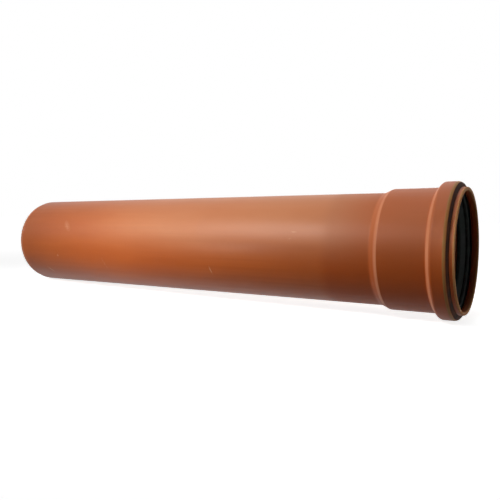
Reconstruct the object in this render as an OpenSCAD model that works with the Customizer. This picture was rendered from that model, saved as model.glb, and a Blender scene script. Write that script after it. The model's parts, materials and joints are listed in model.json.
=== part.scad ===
// Sewer pipe of rigid PVC: a plain barrel with a bevelled spigot on one end, a push-fit socket
// formed on the other end, and a rubber lip seal in the groove of the socket.
// The pipe lies along X with its mouth towards +X, and its widest ring touches the floor at z = 0.
// Sections are drawn as points [depth behind the mouth, radius] and turned about the pipe's axis.

/* [Barrel] */
// Outside diameter of the barrel
pipe_d = 110; // [90:1:200]
// Wall thickness, the same from the spigot to the mouth
wall = 3.2; // [2.4:0.1:5]
// Laying length, from the spigot's end to where the next pipe's spigot stops
laying_length = 500; // [250:10:3000]

/* [Spigot] */
// Length of the lead-in bevel along the axis
bevel_length = 6; // [3:0.5:9]
// Angle between the bevel and the axis
bevel_angle = 15; // [10:1:18]

/* [Socket] */
// Depth of the socket's bore, from the mouth to the shoulder
socket_depth = 66; // [50:1:120]
// Radial clearance between the socket's bore and a spigot
socket_clearance = 0.4; // [0.25:0.05:0.6]
// Length of the conical shoulder between the socket and the barrel
shoulder_length = 7.8; // [6:0.2:20]
// Radius on the hollow side of the shoulder's bend next to the socket
shoulder_front_bend_r = 1; // [0.5:0.5:6]
// Radius on the hollow side of the shoulder's bend next to the barrel
shoulder_rear_bend_r = 6; // [2:0.5:10]
// Rounding of the rim's two edges at the mouth
rim_r = 1; // [0.3:0.1:1.1]

/* [Seal groove] */
// Length of the socket's bore in front of the groove
front_length = 7; // [5.5:0.5:15]
// Depth of the groove below the socket's bore
groove_depth = 5.4; // [4.2:0.1:8]
// Length of the groove's floor
groove_floor = 10; // [8:0.2:15]
// Angle between the groove's front wall and the axis
front_angle = 80; // [45:1:84]
// Angle between the groove's rear wall and the axis
rear_angle = 52; // [35:1:70]
// Radius on the hollow side of the groove's four bends
groove_bend_r = 0.8; // [0.3:0.1:2]

/* [Seal ring] */
// Clearance between the ring and the groove
seal_clearance = 0.15; // [0.1:0.05:0.4]
// Length of the ring's heel along the groove's floor
heel_length = 5.6; // [4.8:0.2:7]
// How far the ring's nose stands back from the socket's bore
nose_recess = 0.5; // [0.2:0.1:1]
// Gap at the nose between the ring and the groove's front wall
nose_setback = 1.6; // [0:0.2:2]
// Length of the nose
nose_length = 2.4; // [2:0.1:3.5]
// Depth of the hollow between the nose and the sealing lip
hollow_depth = 0.8; // [0.4:0.1:1.2]
// Thickness of the sealing lip
lip_thickness = 1.5; // [1.1:0.1:2]
// Length of the sealing lip's face on the spigot
lip_face = 3; // [1.5:0.5:4]
// Gap between the sealing lip's tip and the foot of the groove's rear wall
lip_setback = 2; // [1.5:0.1:3]
// Radial clearance between the sealing lip and a seated spigot
lip_clearance = 0.2; // [0.1:0.05:0.35]
// Rounding of the ring's heel and nose
seal_round = 0.8; // [0.4:0.1:1]
// Rounding of the sealing lip's tip
tip_round = 0.45; // [0.2:0.05:0.5]

/* [Hidden] */
arc_steps = 6;
turn_sides = 180;
pvc_colour = [0.66, 0.36, 0.2];
rubber_colour = [0.06, 0.06, 0.06];

pipe_r = pipe_d / 2;
bore_r = pipe_r - wall;
bevel_tip_r = pipe_r - bevel_length * tan(bevel_angle);
socket_r = pipe_r + socket_clearance;
groove_r = socket_r + groove_depth;
bead_r = groove_r + wall;

// Depth at which the bevelled tip of a spigot meets the inside of the shoulder
stop_depth = socket_depth + shoulder_length * (socket_r - bevel_tip_r) / (socket_r - bore_r);
total_length = laying_length + stop_depth;

// Depths of the groove's four bends
floor_front = front_length + groove_depth / tan(front_angle);
floor_rear = floor_front + groove_floor;
groove_end = floor_rear + groove_depth / tan(rear_angle);

// Bends of the pipe's inside from the mouth to the spigot, each as [depth, radius]
inside = [
    [0, socket_r],
    [front_length, socket_r],
    [floor_front, groove_r],
    [floor_rear, groove_r],
    [groove_end, socket_r],
    [socket_depth, socket_r],
    [socket_depth + shoulder_length, bore_r],
    [total_length, bore_r]
];

// Radius on the hollow side of each of those bends, or 0 at the ends
inside_bends = [
    0, groove_bend_r, groove_bend_r, groove_bend_r, groove_bend_r,
    shoulder_front_bend_r, shoulder_rear_bend_r, 0
];

function unit(v) = v / norm(v);
function turned(v, angle) = [v[0] * cos(angle) - v[1] * sin(angle), v[0] * sin(angle) + v[1] * cos(angle)];
function heading(path, i) = unit(path[i + 1] - path[i]);
function reversed(list) = [for (i = [len(list) - 1:-1:0]) list[i]];

// Direction and size by which a corner of a parallel line moves for each unit between the two lines
function mitre(path, i) =
    let (
        last = len(path) - 1,
        into = heading(path, max(i - 1, 0)),
        out_of = heading(path, min(i, last - 1)),
        across = turned(into, 90) + turned(out_of, 90)
    )
    across * 2 / (across * across);

// Corners of the line that runs beside a path at a distance, outwards where that is positive
function beside(path, distance) = [for (i = [0:len(path) - 1]) path[i] + mitre(path, i) * distance];

// Arc of a radius that replaces the corner between two straight stretches
function arc(before, corner, after, radius) =
    let (
        a = unit(before - corner),
        b = unit(after - corner),
        half = acos(a * b) / 2,
        centre = corner + unit(a + b) * radius / sin(half),
        start = corner + a * radius / tan(half) - centre,
        sweep = -sign(cross(a, b)) * (180 - 2 * half)
    )
    [for (k = [0:arc_steps]) centre + turned(start, sweep * k / arc_steps)];

// Closed outline in which each corner is rounded by its own radius, or kept where that is 0
function rounded(corners, radii) =
    let (n = len(corners))
    [
        for (i = [0:n - 1])
            each radii[i] > 0
                ? arc(corners[(i + n - 1) % n], corners[i], corners[(i + 1) % n], radii[i])
                : [corners[i]]
    ];

// Radii for one side of the wall: the hollow side keeps the bend's own radius, the other adds the wall
function side_radii(path, bends, outer_side) =
    [
        for (i = [0:len(path) - 1])
            bends[i] == 0
                ? 0
                : let (outwards = cross(heading(path, i - 1), heading(path, i)) > 0)
                    outwards == outer_side ? bends[i] : bends[i] + wall
    ];

// Outline of the pipe's wall, from the mouth along the outside to the spigot and back along the inside
function pipe_outline() =
    let (
        last = len(inside) - 1,
        outside = beside(inside, wall),
        outer_radii = side_radii(inside, inside_bends, true),
        inner_radii = side_radii(inside, inside_bends, false),
        corners = [
            each [for (i = [0:last - 1]) outside[i]],
            [total_length - bevel_length, pipe_r],
            [total_length, bevel_tip_r],
            each reversed(inside)
        ],
        radii = [
            rim_r,
            each [for (i = [1:last - 1]) outer_radii[i]],
            0,
            0,
            each reversed([for (i = [1:last]) inner_radii[i]]),
            rim_r
        ]
    )
    rounded(corners, radii);

// Outline of the seal ring: a heel against the groove's front wall and floor, a nose towards the
// mouth, and a lip that points into the socket and lies as a seated spigot presses it
function seal_outline() =
    let (
        seat = beside(inside, -seal_clearance),
        heel_front = seat[2],
        heel_end = heel_front[0] + heel_length,
        nose_r = socket_r + nose_recess,
        nose_front = seat[1][0] + (nose_r - seat[1][1]) / tan(front_angle) + nose_setback,
        nose_end = nose_front + nose_length,
        hollow_r = nose_r + hollow_depth,
        hollow_middle = (nose_end + heel_end) / 2,
        tip_r = pipe_r + lip_clearance,
        tip_end = groove_end - lip_setback
    )
    rounded(
        [
            heel_front,
            [heel_end, heel_front[1]],
            [heel_end, hollow_r + lip_thickness],
            [tip_end, tip_r + lip_thickness],
            [tip_end, tip_r],
            [tip_end - lip_face, tip_r],
            [hollow_middle, hollow_r],
            [nose_end, nose_r],
            [nose_front, nose_r]
        ],
        [
            seal_round, seal_round, seal_round, tip_round, tip_round,
            lip_face / 3, seal_round, seal_round, seal_round
        ]
    );

// Turns an outline about the pipe's axis and lays it down along X
module turn(outline) {
    translate([0, 0, bead_r])
        rotate([0, 90, 0])
            rotate_extrude($fn = turn_sides)
                polygon([for (p = outline) [p[1], total_length / 2 - p[0]]]);
}

module pipe() {
    color(pvc_colour) turn(pipe_outline());
}

module seal_ring() {
    color(rubber_colour) turn(seal_outline());
}

pipe();
seal_ring();
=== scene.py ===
# %% [markdown]
# A sewer pipe of orange-brown PVC
#
# The pipe lies on the floor with its plain end, the spigot, far away on the left and its socket near on
# the right. The socket was blown out of the same wall while the plastic was hot: a short lip, a bead that
# holds a rubber seal, a straight sleeve for the next pipe, and a shoulder that narrows to the barrel.
# Everything is round about one axis, so this lesson draws half a section, turns it round that axis and
# then spends its care on the finish.

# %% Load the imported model
import json
import math

import bmesh
import bpy
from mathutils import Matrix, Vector


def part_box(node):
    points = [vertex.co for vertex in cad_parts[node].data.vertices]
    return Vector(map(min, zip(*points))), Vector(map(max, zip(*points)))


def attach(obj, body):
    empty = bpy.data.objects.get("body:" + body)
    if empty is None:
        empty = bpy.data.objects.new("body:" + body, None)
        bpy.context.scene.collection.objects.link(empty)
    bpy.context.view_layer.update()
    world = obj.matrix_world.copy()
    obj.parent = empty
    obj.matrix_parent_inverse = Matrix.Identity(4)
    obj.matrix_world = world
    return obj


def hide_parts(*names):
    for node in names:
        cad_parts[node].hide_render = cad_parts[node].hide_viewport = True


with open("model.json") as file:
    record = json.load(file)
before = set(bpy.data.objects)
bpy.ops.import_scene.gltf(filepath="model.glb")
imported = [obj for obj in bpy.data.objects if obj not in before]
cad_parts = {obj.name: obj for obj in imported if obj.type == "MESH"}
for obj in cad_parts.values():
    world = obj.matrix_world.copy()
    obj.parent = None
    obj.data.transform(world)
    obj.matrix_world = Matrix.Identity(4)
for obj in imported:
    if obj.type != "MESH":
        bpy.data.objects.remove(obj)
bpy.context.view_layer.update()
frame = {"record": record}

# %% [markdown]
# Sizes
#
# The sizes that fit other pipes come from the model's own record, so that the look can't drift away from
# the solids. The rest are the section's own sizes in millimetres, as they are on the solid, and only the
# hair of rounding on the cut edges is added here. Blender works in metres.

# %% Sizes of the pipe
MM = 0.001
mounts = {mount["name"]: mount for mount in frame["record"]["mounts"]}
SOCKET_R = mounts["socket"]["dims"]["r_mm"] * MM
PIPE_R = mounts["spigot"]["dims"]["r_mm"] * MM
BORE_R = mounts["flow_bore"]["dims"]["r_mm"] * MM
AXIS_Z = mounts["spigot"]["pos_m"][2]
SPIGOT_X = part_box("pipe")[0][0]
MOUTH_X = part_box("pipe")[1][0]
LENGTH = MOUTH_X - SPIGOT_X
BEAD_R = AXIS_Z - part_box("pipe")[0][2]
WALL = PIPE_R - BORE_R
GROOVE_R = BEAD_R - WALL

BEVEL_LENGTH = 6 * MM
BEVEL_ANGLE = math.radians(15)
FRONT_LENGTH = 7 * MM
GROOVE_FLOOR = 10 * MM
FRONT_ANGLE = math.radians(80)
REAR_ANGLE = math.radians(52)
SOCKET_DEPTH = 66 * MM
SHOULDER_LENGTH = 7.8 * MM
GROOVE_BEND_R = 0.8 * MM
SHOULDER_FRONT_BEND_R = 1 * MM
SHOULDER_REAR_BEND_R = 6 * MM
RIM_ROUND = 1 * MM
CUT_EDGE_ROUND = 0.25 * MM

print(f"barrel {2 * PIPE_R / MM:.1f} mm, wall {WALL / MM:.2f} mm, length {LENGTH / MM:.1f} mm")

# %% [markdown]
# Drawing the half section
#
# A section is a closed line of points [depth behind the mouth, radius]. Corners are given once, each with
# its own rounding, and an arc takes the place of the corner. The outside runs beside the inside at the
# wall's thickness, because the real wall was bent and not machined. Long straight stretches get extra
# points: one close to each end, which keeps smooth shading from smearing the bends along the barrel,
# and more in between for a slight unevenness.

# %% Helpers for lines side by side
def heading(path, i):
    """Unit direction from point i of a path to the next one."""
    return (path[i + 1] - path[i]).normalized()


def left_of(direction):
    """The direction turned a quarter to the left."""
    return Vector((-direction.y, direction.x))


def beside(path, distance):
    """Corners of the line that runs beside a path, outwards where the distance is positive."""
    corners = []
    for i, point in enumerate(path):
        into = heading(path, max(i - 1, 0))
        out_of = heading(path, min(i, len(path) - 2))
        across = left_of(into) + left_of(out_of)
        corners.append(point + across * (2 * distance / across.length_squared))
    return corners


# %% Helper for rounded corners
ARC_STEPS = 8


def arc(before, corner, after, radius):
    """Points of the arc that replaces a corner."""
    a = (before - corner).normalized()
    b = (after - corner).normalized()
    half = a.angle(b) / 2
    centre = corner + (a + b).normalized() * (radius / math.sin(half))
    start = corner + a * (radius / math.tan(half)) - centre
    sweep = math.copysign(math.pi - 2 * half, a.y * b.x - a.x * b.y)
    points = []
    for k in range(ARC_STEPS + 1):
        angle = sweep * k / ARC_STEPS
        turned = Vector((
            start.x * math.cos(angle) - start.y * math.sin(angle),
            start.x * math.sin(angle) + start.y * math.cos(angle),
        ))
        points.append(centre + turned)
    return points


# %% Helpers for closed lines
SUPPORT = 0.5 * MM
LONGEST_STEP = 9 * MM


def stretch(start, end):
    """Points between two ends of a straight stretch, with supports close to both ends."""
    length = (end - start).length
    if length < 4 * SUPPORT:
        return []
    steps = max(1, math.ceil((length - 2 * SUPPORT) / LONGEST_STEP))
    first = SUPPORT / length
    return [start.lerp(end, first + (1 - 2 * first) * k / steps) for k in range(steps + 1)]


def section(corners):
    """Closed line through (point, rounding) corners, with arcs and support points."""
    n = len(corners)
    pieces = []
    for i, (point, rounding) in enumerate(corners):
        pieces.append(arc(corners[i - 1][0], point, corners[(i + 1) % n][0], rounding))
    line = []
    for i, piece in enumerate(pieces):
        line += piece
        line += stretch(piece[-1], pieces[(i + 1) % n][0])
    return line


# %% [markdown]
# The pipe's section
#
# The inside is the shape that the forming tool gave: mouth, groove for the seal, sleeve, shoulder, bore.
# At each bend the hollow side has the bend's own radius and the other side adds the wall. The sawn edges
# get a hair of rounding, because no real edge is perfectly sharp and a rounded one catches a line of
# light.

# %% Bends of the wall
floor_front = FRONT_LENGTH + (GROOVE_R - SOCKET_R) / math.tan(FRONT_ANGLE)
floor_rear = floor_front + GROOVE_FLOOR
groove_end = floor_rear + (GROOVE_R - SOCKET_R) / math.tan(REAR_ANGLE)
inside = [
    Vector((0, SOCKET_R)),
    Vector((FRONT_LENGTH, SOCKET_R)),
    Vector((floor_front, GROOVE_R)),
    Vector((floor_rear, GROOVE_R)),
    Vector((groove_end, SOCKET_R)),
    Vector((SOCKET_DEPTH, SOCKET_R)),
    Vector((SOCKET_DEPTH + SHOULDER_LENGTH, BORE_R)),
    Vector((LENGTH, BORE_R)),
]
# The points of that line that later cells come back to
BEAD_FOOT = 1
BEAD_FRONT = 2
BEAD_REAR = 3
SHOULDER_EDGE = 5
outside = beside(inside, WALL)
bends = [0] + [GROOVE_BEND_R] * 4 + [SHOULDER_FRONT_BEND_R, SHOULDER_REAR_BEND_R]
print(f"groove from {FRONT_LENGTH / MM:.1f} to {groove_end / MM:.1f} mm behind the mouth")


# %% Section of the pipe
def bend_rounding(i, outer_side):
    """Rounding of bend i on one side of the wall."""
    into = heading(inside, i - 1)
    out_of = heading(inside, i)
    outwards = into.x * out_of.y - into.y * out_of.x > 0
    return bends[i] if outwards == outer_side else bends[i] + WALL


inner_bends = range(1, len(inside) - 1)
pipe_corners = [(outside[0], RIM_ROUND)]
pipe_corners += [(outside[i], bend_rounding(i, True)) for i in inner_bends]
pipe_corners += [
    (Vector((LENGTH - BEVEL_LENGTH, PIPE_R)), CUT_EDGE_ROUND),
    (Vector((LENGTH, PIPE_R - BEVEL_LENGTH * math.tan(BEVEL_ANGLE))), CUT_EDGE_ROUND),
    (inside[-1], CUT_EDGE_ROUND),
]
pipe_corners += [(inside[i], bend_rounding(i, False)) for i in reversed(inner_bends)]
pipe_corners += [(inside[0], RIM_ROUND)]
pipe_section = section(pipe_corners)
print("points in the pipe's section:", len(pipe_section))

# %% [markdown]
# The seal's section
#
# The rubber ring has a heel that sits in the front of the groove, a rounded nose that stands a little
# behind the groove's front wall, a shallow hollow and a lip that seals against the next pipe. The lip is
# drawn as that pipe would press it. Only the nose, the hollow and the lip show from outside.

# %% Sizes of the seal ring
SEAL_GAP = 0.15 * MM
HEEL_LENGTH = 5.6 * MM
NOSE_RECESS = 0.5 * MM
NOSE_SETBACK = 1.6 * MM
NOSE_LENGTH = 2.4 * MM
HOLLOW_DEPTH = 0.8 * MM
LIP_THICKNESS = 1.5 * MM
LIP_FACE = 3 * MM
LIP_SETBACK = 2 * MM
LIP_GAP = 0.2 * MM
SEAL_ROUND = 0.8 * MM
TIP_ROUND = 0.45 * MM
print(f"seal: {SEAL_GAP / MM:.2f} mm clear of its groove, {LIP_GAP / MM:.2f} mm clear of the next pipe")

# %% Section of the seal ring
seat = beside(inside, -SEAL_GAP)
heel_front = seat[BEAD_FRONT]
wall_foot = seat[BEAD_FOOT]
heel_end = heel_front.x + HEEL_LENGTH
nose_r = SOCKET_R + NOSE_RECESS
nose_front = wall_foot.x + (nose_r - wall_foot.y) / math.tan(FRONT_ANGLE) + NOSE_SETBACK
nose_end = nose_front + NOSE_LENGTH
hollow_r = nose_r + HOLLOW_DEPTH
tip_r = PIPE_R + LIP_GAP
tip_end = groove_end - LIP_SETBACK
seal_corners = [
    (heel_front, SEAL_ROUND),
    (Vector((heel_end, heel_front.y)), SEAL_ROUND),
    (Vector((heel_end, hollow_r + LIP_THICKNESS)), SEAL_ROUND),
    (Vector((tip_end, tip_r + LIP_THICKNESS)), TIP_ROUND),
    (Vector((tip_end, tip_r)), TIP_ROUND),
    (Vector((tip_end - LIP_FACE, tip_r)), LIP_FACE / 3),
    (Vector(((nose_end + heel_end) / 2, hollow_r)), SEAL_ROUND),
    (Vector((nose_end, nose_r)), SEAL_ROUND),
    (Vector((nose_front, nose_r)), SEAL_ROUND),
]
seal_section = section(seal_corners)
print("points in the seal's section:", len(seal_section))

# %% [markdown]
# Turning a section with Geometry Nodes
#
# A lathe could be a Screw modifier, or a loop that writes vertices. A node tree keeps the rule in sight,
# and its named inputs let one tree turn both pieces. The section goes in as loose points, with the place
# along the axis on X and the radius on Z. Three small helpers keep the cells that build the tree short.

# %% Helpers for node trees
def add_node(tree, kind, **settings):
    """New node with its properties set."""
    node = tree.nodes.new(kind)
    for name, value in settings.items():
        setattr(node, name, value)
    return node


def feed(tree, socket, value):
    """Links a socket to another one, or sets it to a plain value."""
    if isinstance(value, bpy.types.NodeSocket):
        tree.links.new(value, socket)
    else:
        socket.default_value = value


def math_node(tree, operation, first, second=0.0):
    """Output of a math node."""
    node = add_node(tree, "ShaderNodeMath", operation=operation)
    feed(tree, node.inputs[0], first)
    feed(tree, node.inputs[1], second)
    return node.outputs[0]


# %% Inputs of the lathe
lathe = bpy.data.node_groups.new("turned_section", "GeometryNodeTree")
for name, kind in (
    ("Section", "NodeSocketGeometry"),
    ("Sides", "NodeSocketInt"),
    ("Axis Height", "NodeSocketFloat"),
    ("Unevenness", "NodeSocketFloat"),
    ("Unevenness Scale", "NodeSocketFloat"),
    ("Finish", "NodeSocketMaterial"),
):
    lathe.interface.new_socket(name, in_out="INPUT", socket_type=kind)
lathe.interface.new_socket("Turned", in_out="OUTPUT", socket_type="NodeSocketGeometry")
given = add_node(lathe, "NodeGroupInput").outputs
print("inputs of the lathe:", [socket.name for socket in given if socket.name])

# %% [markdown]
# A grid for the skin
#
# The grid has one column for each point of the section and one row for each step round the axis, and one
# more of each that will close it. It is one unit wide and centred, so half a unit more makes a place on
# it a share from 0 to 1. The share along picks the section's point, and the share round gives the angle.

# %% Grid of the lathe
HALF_GRID = 0.5
count = add_node(lathe, "GeometryNodeAttributeDomainSize", component="MESH")
feed(lathe, count.inputs["Geometry"], given["Section"])
points = count.outputs["Point Count"]
grid = add_node(lathe, "GeometryNodeMeshGrid")
feed(lathe, grid.inputs["Vertices X"], math_node(lathe, "ADD", points, 1))
feed(lathe, grid.inputs["Vertices Y"], math_node(lathe, "ADD", given["Sides"], 1))

on_grid = add_node(lathe, "ShaderNodeSeparateXYZ")
feed(lathe, on_grid.inputs[0], add_node(lathe, "GeometryNodeInputPosition").outputs[0])
share_along = math_node(lathe, "ADD", on_grid.outputs["X"], HALF_GRID)
share_round = math_node(lathe, "ADD", on_grid.outputs["Y"], HALF_GRID)
column = math_node(lathe, "ROUND", math_node(lathe, "MULTIPLY", share_along, points))
column = math_node(lathe, "MODULO", column, points)
turn_angle = math_node(lathe, "MULTIPLY", share_round, math.tau)
print("lathe with its grid:", len(lathe.nodes), "nodes")

# %% [markdown]
# Round the axis, and not quite true
#
# Every grid point looks up its section point and takes it round the axis. An extruded wall is never quite
# true, so the radius sinks by a little noise. It only sinks, so the outside stays within the model's box.

# %% Points round the axis
sample = add_node(lathe, "GeometryNodeSampleIndex", data_type="FLOAT_VECTOR")
feed(lathe, sample.inputs["Geometry"], given["Section"])
feed(lathe, sample.inputs["Value"], add_node(lathe, "GeometryNodeInputPosition").outputs[0])
feed(lathe, sample.inputs["Index"], column)
drawn = add_node(lathe, "ShaderNodeSeparateXYZ")
feed(lathe, drawn.inputs[0], sample.outputs["Value"])


def on_circle(radius):
    """Section point at a radius, taken round the axis."""
    sideways = math_node(lathe, "MULTIPLY", radius, math_node(lathe, "SINE", turn_angle))
    upwards = math_node(lathe, "MULTIPLY", radius, math_node(lathe, "COSINE", turn_angle))
    joined = add_node(lathe, "ShaderNodeCombineXYZ")
    feed(lathe, joined.inputs["X"], drawn.outputs["X"])
    feed(lathe, joined.inputs["Y"], sideways)
    feed(lathe, joined.inputs["Z"], math_node(lathe, "ADD", upwards, given["Axis Height"]))
    return joined.outputs[0]


waves = add_node(lathe, "ShaderNodeTexNoise")
feed(lathe, waves.inputs["Vector"], on_circle(drawn.outputs["Z"]))
feed(lathe, waves.inputs["Scale"], given["Unevenness Scale"])
waves.inputs["Detail"].default_value = 1.0
sink = math_node(lathe, "MULTIPLY", waves.outputs[0], given["Unevenness"])
uneven_radius = math_node(lathe, "SUBTRACT", drawn.outputs["Z"], sink)
print("lathe with its noise:", len(lathe.nodes), "nodes")

# %% [markdown]
# Closing the skin
#
# The grid's first and last columns meet, and so do its first and last rows, so merging the points that
# lie on each other closes the skin. The tree ends by making plain mesh of it and laying the finish on.

# %% Output of the lathe
MERGE_REACH = 0.001 * MM
moved = add_node(lathe, "GeometryNodeSetPosition")
feed(lathe, moved.inputs["Geometry"], grid.outputs["Mesh"])
feed(lathe, moved.inputs["Position"], on_circle(uneven_radius))
merged = add_node(lathe, "GeometryNodeMergeByDistance")
feed(lathe, merged.inputs["Geometry"], moved.outputs[0])
merged.inputs["Distance"].default_value = MERGE_REACH
smooth_skin = add_node(lathe, "GeometryNodeSetShadeSmooth")
feed(lathe, smooth_skin.inputs[0], merged.outputs[0])
plain = add_node(lathe, "GeometryNodeRealizeInstances")
feed(lathe, plain.inputs[0], smooth_skin.outputs[0])
finished = add_node(lathe, "GeometryNodeSetMaterial")
feed(lathe, finished.inputs["Geometry"], plain.outputs[0])
feed(lathe, finished.inputs["Material"], given["Finish"])
feed(lathe, add_node(lathe, "NodeGroupOutput").inputs["Turned"], finished.outputs[0])
print("whole lathe:", len(lathe.nodes), "nodes")

# %% [markdown]
# From a drawing to a piece
#
# The section is drawn as loose points, the lathe turns it as a modifier, and a plain mesh is taken from
# the result, because a mesh is all that a part needs to carry. Normals are recalculated, so that every
# face points outwards, and edges that don't have two faces are counted, which shows that the skin is
# closed.

# %% Put a section on the lathe
def section_blank(name, line, inputs):
    """Loose points of a section, with the lathe as their modifier and its inputs set."""
    drawing = bpy.data.meshes.new(name + "_section")
    drawing.from_pydata([(MOUTH_X - p.x, 0, p.y) for p in line], [], [])
    blank = bpy.data.objects.new(name + "_section", drawing)
    bpy.context.collection.objects.link(blank)
    modifier = blank.modifiers.new("lathe", "NODES")
    modifier.node_group = lathe
    for item in lathe.interface.items_tree:
        if item.name in inputs:
            modifier[item.identifier] = inputs[item.name]
    return blank


# %% Turn one piece
SIDES = 192
CM = 0.01


def turned_piece(name, line, finish, unevenness, unevenness_scale):
    """Plain closed mesh object of a section turned by the lathe."""
    blank = section_blank(name, line, {
        "Sides": SIDES,
        "Axis Height": AXIS_Z,
        "Unevenness": unevenness,
        "Unevenness Scale": unevenness_scale,
        "Finish": finish,
    })
    evaluated = blank.evaluated_get(bpy.context.evaluated_depsgraph_get())
    mesh = bpy.data.meshes.new_from_object(evaluated)
    bpy.data.objects.remove(blank)
    skin = bmesh.new()
    skin.from_mesh(mesh)
    bmesh.ops.recalc_face_normals(skin, faces=skin.faces)
    open_edges = sum(not edge.is_manifold for edge in skin.edges)
    volume = skin.calc_volume(signed=True)
    skin.to_mesh(mesh)
    skin.free()
    mesh.name = name
    piece = bpy.data.objects.new(name, mesh)
    bpy.context.collection.objects.link(piece)
    print(f"{name}: {len(mesh.polygons)} faces, {open_edges} open edges, {volume / CM ** 3:.1f} cm3")
    return piece


# %% [markdown]
# The finish of the PVC
#
# The plastic is coloured all through. It leaves the extruder with a satin skin that has fine lengthwise
# lines from the die and a tone that drifts a little along the wall. The saw and the bevelling tool leave
# paler, dull faces on both ends, and handling leaves a few pale scuffs. All of it is worked out from the
# object's own coordinates, so it stays on the pipe from every side. Noise hardly leaves the range from
# 0.3 to 0.7, so a ramp stretches about that range wherever noise sets a tone or a gloss.

# %% Helpers for materials
def new_material(name):
    """New material. Returns it with its tree, its principled shader and the object coordinates."""
    material = bpy.data.materials.new(name)
    material.use_nodes = True
    tree = material.node_tree
    shader = tree.nodes["Principled BSDF"]
    place = add_node(tree, "ShaderNodeTexCoord").outputs["Object"]
    return material, tree, shader, place


def mapped(tree, vector, **settings):
    """Coordinates moved, turned and scaled by a mapping node."""
    node = add_node(tree, "ShaderNodeMapping", vector_type=settings.pop("kind", "POINT"))
    feed(tree, node.inputs["Vector"], vector)
    for name, value in settings.items():
        node.inputs[name.capitalize()].default_value = value
    return node.outputs[0]


def noise(tree, place, per_metre, detail=2.0):
    """Noise value from 0 to 1. Its size is given as patches for each metre along X, Y and Z."""
    node = add_node(tree, "ShaderNodeTexNoise")
    feed(tree, node.inputs["Vector"], mapped(tree, place, scale=per_metre))
    node.inputs["Scale"].default_value = 1.0
    node.inputs["Detail"].default_value = detail
    return node.outputs[0]


# %% Helpers for tones and relief
def ramp(tree, value, low, high, to_low=0.0, to_high=1.0, smooth=True):
    """Value taken from one range to another and held at its ends."""
    node = add_node(tree, "ShaderNodeMapRange", interpolation_type="SMOOTHSTEP" if smooth else "LINEAR")
    feed(tree, node.inputs["Value"], value)
    node.inputs["From Min"].default_value = low
    node.inputs["From Max"].default_value = high
    node.inputs["To Min"].default_value = to_low
    node.inputs["To Max"].default_value = to_high
    return node.outputs[0]


def blend(tree, factor, first, second):
    """Mix of two colours."""
    node = add_node(tree, "ShaderNodeMix", data_type="RGBA")
    feed(tree, node.inputs["Factor"], factor)
    feed(tree, node.inputs["A"], first)
    feed(tree, node.inputs["B"], second)
    return node.outputs["Result"]


def bump(tree, height, distance, normal=None):
    """Normal from a height, on top of another bump where one is given."""
    node = add_node(tree, "ShaderNodeBump")
    feed(tree, node.inputs["Height"], height)
    node.inputs["Distance"].default_value = distance
    if normal:
        feed(tree, node.inputs["Normal"], normal)
    return node.outputs[0]


# %% Helper for colours
def linear(red, green, blue):
    """Colour given as it looks on a screen, from 0 to 255, in the linear values that shaders use."""
    def one(value):
        value /= 255
        return value / 12.92 if value <= 0.04045 else ((value + 0.055) / 1.055) ** 2.4
    return (one(red), one(green), one(blue), 1.0)


# %% Places on the PVC
pvc, tree, shader, place = new_material("pvc")
spread = add_node(tree, "ShaderNodeSeparateXYZ")
feed(tree, spread.inputs[0], place)
along = spread.outputs["X"]
from_axis = add_node(tree, "ShaderNodeVectorMath", operation="LENGTH")
feed(tree, from_axis.inputs[0], mapped(tree, place, location=(0, 0, -AXIS_Z), scale=(0, 1, 1)))
radius = from_axis.outputs["Value"]
print("PVC material with", len(tree.nodes), "nodes so far")

# %% Tone of the PVC
PVC_TONE = linear(172, 82, 25)
PVC_PALE_TONE = linear(178, 87, 29)
PVC_DEEP_TONE = linear(166, 77, 22)
DRIFT_PATCHES = (7, 22, 22)
COARSE_LINE_PATCHES = (2.5, 260, 260)
FINE_LINE_PATCHES = (9, 1300, 1300)
drift = noise(tree, place, DRIFT_PATCHES, detail=3)
coarse_lines = noise(tree, place, COARSE_LINE_PATCHES, detail=3)
fine_lines = noise(tree, place, FINE_LINE_PATCHES)
tone = blend(tree, ramp(tree, drift, 0.3, 0.7), PVC_DEEP_TONE, PVC_PALE_TONE)
tone = blend(tree, ramp(tree, coarse_lines, 0.35, 0.65), tone, PVC_TONE)
print("PVC tone laid on with", len(tree.nodes), "nodes so far")

# %% [markdown]
# The heated end
#
# To form the socket, the maker heats the last stretch of pipe. It comes out a shade deeper and duller
# than the barrel, and a faint ring stays where the oven ended. Its tone is made deeper still, as painted
# shade on the socket's end. A ramp along the axis makes the ring, and the slow drift of the tone moves it
# to and fro a little, because heat never stops at a ruled line.

# %% Heated end, with painted shade
HEATED_AND_SHADED_TONE = linear(156, 68, 15)
HEATED_LENGTH = 120 * MM
HEATED_FADE = 8 * MM
HEATED_WAVE = 3 * MM
HEATED_SHARE = 0.8
ring_x = MOUTH_X - HEATED_LENGTH
wavy_along = math_node(tree, "ADD", along, ramp(tree, drift, 0.3, 0.7, -HEATED_WAVE, HEATED_WAVE))
heated_and_shaded_mask = ramp(tree, wavy_along, ring_x - HEATED_FADE, ring_x + HEATED_FADE)
# The deeper tone is the heated wall's own, and partly painted shade
tone = blend(tree, math_node(tree, "MULTIPLY", heated_and_shaded_mask, HEATED_SHARE), tone, HEATED_AND_SHADED_TONE)
print(f"heated end: {HEATED_LENGTH / MM:.0f} mm behind the mouth")
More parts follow.
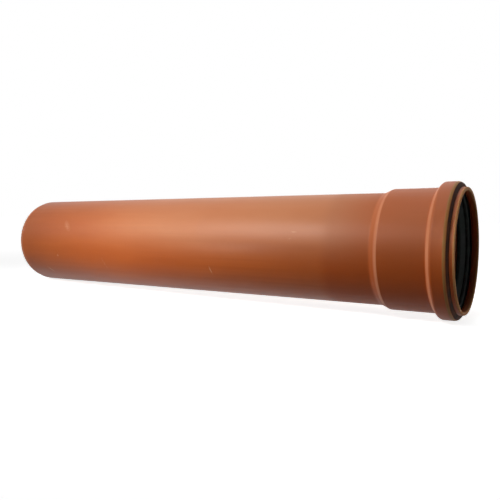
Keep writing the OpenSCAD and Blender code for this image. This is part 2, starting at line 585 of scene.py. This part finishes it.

# %% [markdown]
# Dust and painted sheen on top
#
# A pipe that lies in a yard fades a little and gathers a thin film of dust on whatever faces up, and the
# same pale tone paints in the satin sheen that the light lays on the upper side. The surface's own normal
# says which way it faces, so a ramp on its upward part lays the pale tone on, and slow noise makes it
# patchy. It thins out towards both ends, where hands take hold of the pipe and wipe it.

# %% Dust and painted sheen on top
DUST_AND_SHEEN_TONE = linear(180, 138, 106)
DUST_AND_SHEEN_SHARE = 0.44
DUST_AND_SHEEN_EDGE = 0.4
DUST_AND_SHEEN_PATCHINESS = 0.2
DUST_AND_SHEEN_GROWTH = 300 * MM
DUST_AND_SHEEN_AT_SPIGOT = 0.1
DUST_AND_SHEEN_AT_SOCKET = 0.4
facing = add_node(tree, "ShaderNodeSeparateXYZ")
feed(tree, facing.inputs[0], add_node(tree, "ShaderNodeTexCoord").outputs["Normal"])
dust_and_sheen_mask = ramp(tree, facing.outputs["Z"], -DUST_AND_SHEEN_EDGE, DUST_AND_SHEEN_EDGE, 0.0, DUST_AND_SHEEN_SHARE)
for share in (
    ramp(tree, drift, 0.25, 0.75, 1 - DUST_AND_SHEEN_PATCHINESS, 1 + DUST_AND_SHEEN_PATCHINESS, smooth=False),
    ramp(tree, along, SPIGOT_X, SPIGOT_X + DUST_AND_SHEEN_GROWTH, DUST_AND_SHEEN_AT_SPIGOT, 1.0),
    ramp(tree, along, ring_x, ring_x + HEATED_LENGTH / 2, 1.0, DUST_AND_SHEEN_AT_SOCKET),
):
    dust_and_sheen_mask = math_node(tree, "MULTIPLY", dust_and_sheen_mask, share)
# The pale tone is dust and a painted sheen on the upper side
tone = blend(tree, dust_and_sheen_mask, tone, DUST_AND_SHEEN_TONE)
print(f"film: {DUST_AND_SHEEN_SHARE:.0%} on top, full from {DUST_AND_SHEEN_GROWTH / MM:.0f} mm behind the spigot's end")

# %% [markdown]
# Painted highlights on two bends
#
# Where the wall turns over a convex bend that faces the light, it catches a highlight, and a pale tone
# paints that highlight in. The two bends that stand out are the shoulder's edge next to the sleeve and
# the slope that rises to the bead. Each one is a short stretch along the axis, so two ramps, one rising
# and one falling, mark it.

# %% Painted highlights on the bends
BEND_HIGHLIGHT_TONE = linear(222, 160, 124)
BEND_HIGHLIGHT_LEAST = 0.18
BEND_HIGHLIGHT_MOST = 0.39
# Where a band starts, is full, starts to fade and ends, measured from its bend towards the mouth
SHOULDER_BAND = (-4 * MM, -1.5 * MM, 0, 0.8 * MM)
BEAD_BAND = (-4.5 * MM, -3 * MM, -1 * MM, 0.5 * MM)
bend_highlight_mask = 0.0
for name, bend, band in (("shoulder", SHOULDER_EDGE, SHOULDER_BAND), ("bead", BEAD_REAR, BEAD_BAND)):
    start, full, fading, end = (MOUTH_X - outside[bend].x + part for part in band)
    rising = ramp(tree, along, start, full)
    falling = ramp(tree, along, fading, end, 1.0, 0.0)
    both_ramps = math_node(tree, "MULTIPLY", rising, falling)
    bend_highlight_mask = math_node(tree, "MAXIMUM", both_ramps, bend_highlight_mask)
    print(f"stretched bend of the {name}: {outside[bend].x / MM:.1f} mm behind the mouth")
uneven_highlight = ramp(tree, drift, 0.25, 0.75, BEND_HIGHLIGHT_LEAST, BEND_HIGHLIGHT_MOST)
bend_highlight_mask = math_node(tree, "MULTIPLY", bend_highlight_mask, uneven_highlight)
# Painted highlight on the shoulder's edge and on the bead's rear slope
tone = blend(tree, bend_highlight_mask, tone, BEND_HIGHLIGHT_TONE)

# %% [markdown]
# Sawn and bevelled ends
#
# Both cut faces, the bevel and the rounded rim lie within a few millimetres of the ends, so a ramp along
# X finds them. Tool marks run round the bevel, and on the end faces they run across, so one noise is
# stretched both ways.

# %% Sawn ends
CUT_TONE = linear(176, 138, 88)
CUT_SHARE = 0.85
BEVEL_SHARE = 0.35
CUT_FADE = 0.2 * MM
# Depths behind the mouth at which the tone of the sawn rim starts and is full
RIM_START = 2 * RIM_ROUND
RIM_FULL = 1.2 * RIM_ROUND
TOOL_MARK_PATCHES = (2600, 30, 700)
TOOL_MARK_SHARE = 0.6
bevel_x = SPIGOT_X + BEVEL_LENGTH
# The pale tone on the mouth's rounded rim is the sawn face's own, and also paints in the line of light
# that the rounding catches
rim_cut_and_highlight_mask = ramp(tree, along, MOUTH_X - RIM_START, MOUTH_X - RIM_FULL)
bevel_mask = ramp(tree, along, bevel_x, bevel_x - 2 * CUT_FADE, 0.0, BEVEL_SHARE)
face_mask = ramp(tree, along, SPIGOT_X + 2 * CUT_FADE, SPIGOT_X + CUT_FADE)
cut_mask = math_node(tree, "MAXIMUM", rim_cut_and_highlight_mask, math_node(tree, "MAXIMUM", bevel_mask, face_mask))
tool_marks = noise(tree, place, TOOL_MARK_PATCHES)
cut_tone = blend(tree, ramp(tree, tool_marks, 0.3, 0.7, 0.0, TOOL_MARK_SHARE), CUT_TONE, PVC_PALE_TONE)
tone = blend(tree, math_node(tree, "MULTIPLY", cut_mask, CUT_SHARE), tone, cut_tone)
print(f"cut faces: {RIM_START / MM:.1f} mm at the mouth, {BEVEL_LENGTH / MM:.1f} mm at the spigot")

# %% [markdown]
# The rubbed edge of the bead, with a painted highlight
#
# The front edge of the bead stands proud of everything else, so it rubs on the floor and on other pipes
# and turns pale, and its rounding catches a line of light, which the same pale tone paints in. Only this
# rounded edge lies both in front of the bead's flat and high above the lip, so depth behind the mouth and
# distance from the axis pick it out, and noise along it makes the wear uneven.

# %% Rubbed edge and painted highlight
RUBBED_HIGHLIGHT_TONE = linear(152, 112, 62)
RUBBED_DROP = 1.0 * MM
RUBBED_FADE = 0.4 * MM
RUBBED_LEAST = 0.55
RUBBED_MOST = 0.95
WEAR_PATCHES = (200, 60, 60)
edge_round = GROOVE_BEND_R + WALL
edge_start_x = MOUTH_X - outside[BEAD_FRONT].x - edge_round * math.tan(FRONT_ANGLE / 2)
edge_low_r = BEAD_R - RUBBED_DROP
past_start = ramp(tree, along, edge_start_x - RUBBED_FADE, edge_start_x + RUBBED_FADE)
above_wall = ramp(tree, radius, edge_low_r - RUBBED_FADE, edge_low_r + RUBBED_FADE)
rubbed_highlight_mask = math_node(tree, "MULTIPLY", past_start, above_wall)
wear = noise(tree, place, WEAR_PATCHES, detail=3)
uneven_rub = ramp(tree, wear, 0.25, 0.6, RUBBED_LEAST, RUBBED_MOST)
rubbed_highlight_mask = math_node(tree, "MULTIPLY", rubbed_highlight_mask, uneven_rub)
# Pale wear and a painted highlight on the bead's front edge
tone = blend(tree, rubbed_highlight_mask, tone, RUBBED_HIGHLIGHT_TONE)
print(f"rubbed edge starts {(MOUTH_X - edge_start_x) / MM:.1f} mm behind the mouth")

# %% [markdown]
# Painted shade at the foot of the bead
#
# The bead's steep front wall and the corner at its foot face away from the light and lie in deep shade,
# and a near-black tone paints that shade in. The corner is found like the rubbed edge, by its place along
# the axis and its distance from it, this time below the edge.

# %% Painted shade at the foot of the bead
RECESS_SHADE_TONE = linear(16, 10, 6)
RECESS_SHADE_REACH = 0.2 * MM
RECESS_SHADE_FADE = 0.3 * MM
RECESS_SHADE_LEAST = 0.85
RECESS_SHADE_MOST = 1.0
# Shares of the wall's thickness at which its outer side starts and is full
OUTER_SIDE_START = 0.4
OUTER_SIDE_FULL = 0.6
shade_end_x = MOUTH_X - outside[BEAD_FOOT].x + RECESS_SHADE_REACH
below_edge = ramp(tree, radius, edge_low_r - RECESS_SHADE_FADE, edge_low_r + RECESS_SHADE_FADE, 1.0, 0.0)
on_outside = ramp(tree, radius, SOCKET_R + OUTER_SIDE_START * WALL, SOCKET_R + OUTER_SIDE_FULL * WALL)
near_foot = ramp(tree, along, shade_end_x - RECESS_SHADE_FADE, shade_end_x + RECESS_SHADE_FADE, 1.0, 0.0)
painted_shade_mask = ramp(tree, wear, 0.25, 0.7, RECESS_SHADE_LEAST, RECESS_SHADE_MOST)
for bound in (past_start, below_edge, on_outside, near_foot):
    painted_shade_mask = math_node(tree, "MULTIPLY", painted_shade_mask, bound)
# Near-black painted shade on the bead's front wall and in the corner at its foot
tone = blend(tree, painted_shade_mask, tone, RECESS_SHADE_TONE)
print(f"grime ends {(MOUTH_X - shade_end_x) / MM:.1f} mm behind the mouth")

# %% [markdown]
# Scuffs
#
# Each scuff is a small flattened ball of influence on the surface. One mapping node moves the origin to
# the mark and turns it to lie on the wall, a second one slants it and squeezes it to the mark's length
# and width, and a spherical gradient fades it out. Noise breaks it up.

# %% Places of the scuffs
SCUFFS = [
    # In millimetres and degrees: place along X, angle from the top to the front, length, width and slant
    # from the axis. The last value is the strength.
    (-193.8, 67, 24, 9, -47, 0.3),
    (-211, 108, 4.5, 3.5, 30, 0.9),
    (-239, 133, 17, 2.4, -53, 0.7),
    (-128.5, 117, 26, 2.6, -75, 0.24),
    (32, 118, 13, 2, -80, 0.85),
    (134.2, 72, 8, 1.6, 0, 0.5),
    (131, 79, 6, 1.4, 10, 0.35),
    (-120, 30, 12, 1.6, 15, 0.5),
    (60, 200, 14, 1.8, 40, 0.7),
    (-150, 265, 10, 2.4, 65, 0.6),
    (170, 290, 9, 1.6, 20, 0.6),
]
print("scuffs:", len(SCUFFS))

# %% Scuffs
SCUFF_TONE = linear(218, 164, 126)
SCUFF_DEPTH = 2 * MM
SCRATCH_PATCHES = (700, 700, 700)
scratch_grain = noise(tree, place, SCRATCH_PATCHES, detail=3)
scuff_mask = 0.0
for x, angle, long, wide, slant, strength in SCUFFS:
    turn = math.radians(angle)
    spot = (x * MM, -PIPE_R * math.sin(turn), AXIS_Z + PIPE_R * math.cos(turn))
    on_wall = mapped(tree, place, kind="TEXTURE", location=spot, rotation=(turn, 0, 0))
    ball = mapped(
        tree, on_wall, kind="TEXTURE",
        rotation=(0, 0, math.radians(slant)), scale=(long / 2 * MM, wide / 2 * MM, SCUFF_DEPTH),
    )
    fade = add_node(tree, "ShaderNodeTexGradient", gradient_type="SPHERICAL")
    feed(tree, fade.inputs[0], ball)
    mark = math_node(tree, "MULTIPLY", fade.outputs["Fac"], strength)
    scuff_mask = math_node(tree, "MAXIMUM", mark, scuff_mask)
scuff_mask = math_node(tree, "MULTIPLY", scuff_mask, ramp(tree, scratch_grain, 0.35, 0.55))
tone = blend(tree, scuff_mask, tone, SCUFF_TONE)
feed(tree, shader.inputs["Base Color"], tone)
print("all PVC tones laid on with", len(tree.nodes), "nodes")

# %% [markdown]
# Gloss and relief
#
# The skin that the die leaves is satin, not shiny: its roughness follows the lengthwise lines, and heat,
# cuts, wear, the painted shade at the bead's foot and scuffs each dull it by their own amount. Lines and
# tool marks are too fine to model, so bump nodes tilt the shading.

# %% Gloss and relief of the PVC
SATIN_LEAST = 0.34
SATIN_MOST = 0.4
PVC_GLOSS_LEVEL = 0.15
COARSE_RELIEF = 0.03 * MM
FINE_RELIEF = 0.006 * MM
TOOL_RELIEF = 0.05 * MM
roughness = ramp(tree, coarse_lines, 0.2, 0.8, SATIN_LEAST, SATIN_MOST, smooth=False)
for mask, dulling in (
    (heated_and_shaded_mask, 0.1), (cut_mask, 0.2), (rubbed_highlight_mask, 0.1), (painted_shade_mask, 0.4), (scuff_mask, 0.3),
):
    roughness = math_node(tree, "ADD", roughness, math_node(tree, "MULTIPLY", mask, dulling))
feed(tree, shader.inputs["Roughness"], roughness)
shader.inputs["IOR"].default_value = 1.5
shader.inputs["Specular IOR Level"].default_value = PVC_GLOSS_LEVEL
relief = bump(tree, coarse_lines, COARSE_RELIEF)
relief = bump(tree, fine_lines, FINE_RELIEF, relief)
relief = bump(tree, math_node(tree, "MULTIPLY", tool_marks, cut_mask), TOOL_RELIEF, relief)
feed(tree, shader.inputs["Normal"], relief)
print("PVC material with", len(tree.nodes), "nodes")

# %% [markdown]
# The finish of the rubber
#
# The seal is black synthetic rubber, dull, with a grey bloom of the powder that keeps it from sticking in
# the mould, and the grey of the bloom also paints in the sheen that the seal shows inside the mouth. One
# noise sets both tone and gloss, because the powder is paler and duller than the rubber where it lies.

# %% The rubber material
RUBBER_TONE = linear(12, 14, 13)
BLOOM_AND_SHEEN_TONE = linear(46, 54, 51)
BLOOM_PATCHES = (90, 90, 90)
GRAIN_PATCHES = (2500, 900, 900)
GRAIN_RELIEF = 0.02 * MM
DULL_LEAST = 0.45
DULL_MOST = 0.62
RUBBER_GLOSS_LEVEL = 0.17
rubber, tree, shader, place = new_material("rubber")
bloom = noise(tree, place, BLOOM_PATCHES, detail=4)
grain = noise(tree, place, GRAIN_PATCHES)
# Grey powder bloom and painted sheen on the black rubber
feed(tree, shader.inputs["Base Color"], blend(tree, ramp(tree, bloom, 0.4, 0.75), RUBBER_TONE, BLOOM_AND_SHEEN_TONE))
feed(tree, shader.inputs["Roughness"], ramp(tree, bloom, 0.3, 0.7, DULL_LEAST, DULL_MOST, smooth=False))
shader.inputs["Specular IOR Level"].default_value = RUBBER_GLOSS_LEVEL
feed(tree, shader.inputs["Normal"], bump(tree, grain, GRAIN_RELIEF))
print("rubber material with", len(tree.nodes), "nodes")

# %% [markdown]
# The two pieces
#
# Both sections are turned by the same tree. The pipe is a little more uneven than the moulded seal. Each
# skin takes the place of one node of the model, which is hidden, and rides on its only body.

# %% Turn the pipe and the seal
# How deep the unevenness is, and how many waves of it lie on a metre
PIPE_UNEVENNESS = (0.15 * MM, 14.0)
SEAL_UNEVENNESS = (0.05 * MM, 60.0)
pipe = turned_piece("pipe_skin", pipe_section, pvc, *PIPE_UNEVENNESS)
seal = turned_piece("seal_skin", seal_section, rubber, *SEAL_UNEVENNESS)
for piece, node, slot in ((pipe, "pipe", "pvc"), (seal, "seal_ring", "rubber")):
    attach(piece, "root")
    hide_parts(node)

# %% [markdown]
# Floor and background
#
# The pipe touches the floor at its bead and at the end of its spigot, which is thinner, so the floor is
# laid through those two places. It looks white to the camera and still takes the pipe's shadow: part of
# its light is its own, and the rest is what falls on it. To the light that bounces it is only a middle
# grey, so it doesn't flood the underside.

# %% Floor
FLOOR_REACH = 12.0
bead_touch = MOUTH_X - floor_rear
slope = (BEAD_R - PIPE_R) / (SPIGOT_X + BEVEL_LENGTH - bead_touch)
corners = [(x, y, slope * (x - bead_touch)) for x, y in (
    (-FLOOR_REACH, -FLOOR_REACH), (FLOOR_REACH, -FLOOR_REACH),
    (FLOOR_REACH, FLOOR_REACH), (-FLOOR_REACH, FLOOR_REACH),
)]
floor_mesh = bpy.data.meshes.new("floor")
floor_mesh.from_pydata(corners, [], [(0, 1, 2, 3)])
floor = bpy.data.objects.new("floor", floor_mesh)
bpy.context.collection.objects.link(floor)
print(f"floor falls by {math.degrees(math.atan(-slope)):.2f} degrees along X")


# %% Helper for what is seen directly
def seen_directly(tree):
    """1 for rays from the camera, or those mirrored or let through by a surface, and 0 for other light."""
    path = add_node(tree, "ShaderNodeLightPath").outputs
    seen = math_node(tree, "MAXIMUM", path["Is Camera Ray"], path["Is Glossy Ray"])
    return math_node(tree, "MAXIMUM", seen, path["Is Transmission Ray"])


# %% Floor material
FLOOR_TONE = (0.8, 0.8, 0.8, 1.0)
FLOOR_BOUNCE_TONE = (0.2, 0.2, 0.2, 1.0)
# Distances between which the floor's own light grows, and its strength there
GLOW_START = 0.3
GLOW_END = 1.2
GLOW_NEAR = 0.82
GLOW_FAR = 1.0
pale = bpy.data.materials.new("pale_floor")
pale.use_nodes = True
tree = pale.node_tree
tree.nodes.clear()
seen = seen_directly(tree)
away = add_node(tree, "ShaderNodeVectorMath", operation="LENGTH")
feed(tree, away.inputs[0], add_node(tree, "ShaderNodeTexCoord").outputs["Object"])
own_light = ramp(tree, away.outputs["Value"], GLOW_START, GLOW_END, GLOW_NEAR, GLOW_FAR)
lit = add_node(tree, "ShaderNodeBsdfDiffuse")
feed(tree, lit.inputs["Color"], blend(tree, seen, FLOOR_BOUNCE_TONE, FLOOR_TONE))
own = add_node(tree, "ShaderNodeEmission")
feed(tree, own.inputs["Strength"], math_node(tree, "MULTIPLY", seen, own_light))
both = add_node(tree, "ShaderNodeAddShader")
feed(tree, both.inputs[0], lit.outputs[0])
feed(tree, both.inputs[1], own.outputs[0])
feed(tree, add_node(tree, "ShaderNodeOutputMaterial").inputs["Surface"], both.outputs[0])
floor_mesh.materials.append(pale)
print(f"floor: {FLOOR_TONE[0]:.0%} pale, bounces {FLOOR_BOUNCE_TONE[0]:.0%}")

# %% Background
AMBIENT = 0.02
world = bpy.data.worlds.new("studio")
world.use_nodes = True
tree = world.node_tree
sky = tree.nodes["Background"]
sky.inputs["Color"].default_value = (1, 1, 1, 1)
feed(tree, sky.inputs["Strength"], ramp(tree, seen_directly(tree), 0, 1, AMBIENT, 1.0, smooth=False))
bpy.context.scene.world = world
print("ambient light:", AMBIENT)

# %% [markdown]
# Light
#
# The light is soft and comes from the upper left, so what faces left is bright and the mouth falls into
# shade. The key lamp and a low one in front of the barrel shade the round, and a small one above lifts
# the socket's upper side. The highlight sits lower on the pipe than the brightest shade does, so a soft
# box that shows in the gloss alone makes it, and the key stays out of the gloss. A far lamp along the
# pipe picks out the shoulder and the bead, a narrow beam touches the mouth's edge, and the lamps behind
# and beside keep the other sides readable.

# %% Helper for lamps
def lamp(name, place, target, size, power, spread):
    """Square soft box that points at a target. A grid narrows its light to a spread in degrees."""
    data = bpy.data.lights.new(name, "AREA")
    data.shape = "SQUARE"
    data.size = size
    data.energy = power
    data.spread = math.radians(spread)
    made = bpy.data.objects.new(name, data)
    made.location = place
    made.rotation_euler = (Vector(target) - Vector(place)).to_track_quat("-Z", "Y").to_euler()
    made.visible_camera = False
    bpy.context.collection.objects.link(made)
    return made


# %% Lamps
MIDDLE = (0, 0, AXIS_Z)
AT_SOCKET = (0.24, 0, AXIS_Z)
AT_BARREL = (0.05, 0, AXIS_Z)
AT_RING = (ring_x, 0, AXIS_Z)
AT_SPIGOT = (-0.12, 0, AXIS_Z)
key = lamp("key", (-0.3, -0.62, 0.68), AT_BARREL, size=0.4, power=1.05, spread=60)
key.visible_glossy = False
gloss_box = lamp("gloss_box", (-0.3, -0.71, 0.56), AT_RING, size=0.5, power=1.0, spread=60)
gloss_box.visible_diffuse = False
lamp("low", (-0.12, -0.36, 0.05), AT_SPIGOT, size=0.08, power=0.165, spread=106)
lamp("top", (0.16, -0.12, 0.85), AT_SOCKET, size=0.3, power=0.19, spread=60)
along_lamp = lamp("along", (-1.5, -0.3, 0.45), AT_SOCKET, size=0.3, power=0.2, spread=20)
along_lamp.visible_glossy = False
lamp("mouth", (0.262, -0.5, 0.3), (MOUTH_X + 0.015, -PIPE_R, AXIS_Z), size=0.02, power=0.003, spread=9)
lamp("back", (0.1, 0.7, 1.1), MIDDLE, size=0.6, power=1.3, spread=180)
lamp("back_low", (0, 1.3, 0.22), MIDDLE, size=0.5, power=1.0, spread=60)
lamp("mouth_side", (1.3, 0.4, 0.25), (MOUTH_X, 0, AXIS_Z), size=0.2, power=0.06, spread=30)

# %% [markdown]
# Camera
#
# The camera stands close, just past the mouth and a little above the pipe's axis, turned back towards
# the barrel. That gives the strong perspective of the far end.

# %% Camera
CAMERA_PLACE = (0.3808, -0.5296, 0.0915)
CAMERA_TURN = math.radians(31.84)
CAMERA_DIP = math.radians(3.0)
SENSOR_WIDTH = 36
LENS = 39.68
camera_data = bpy.data.cameras.new("camera")
camera_data.sensor_width = SENSOR_WIDTH
camera_data.lens = LENS
camera_data.clip_start = 0.01
camera = bpy.data.objects.new("camera", camera_data)
camera.location = CAMERA_PLACE
camera.rotation_euler = (math.pi / 2 - CAMERA_DIP, 0, CAMERA_TURN)
bpy.context.collection.objects.link(camera)
bpy.context.scene.camera = camera
bpy.context.scene.view_settings.view_transform = "Standard"
print(f"camera at {CAMERA_PLACE}, lens {LENS} mm")
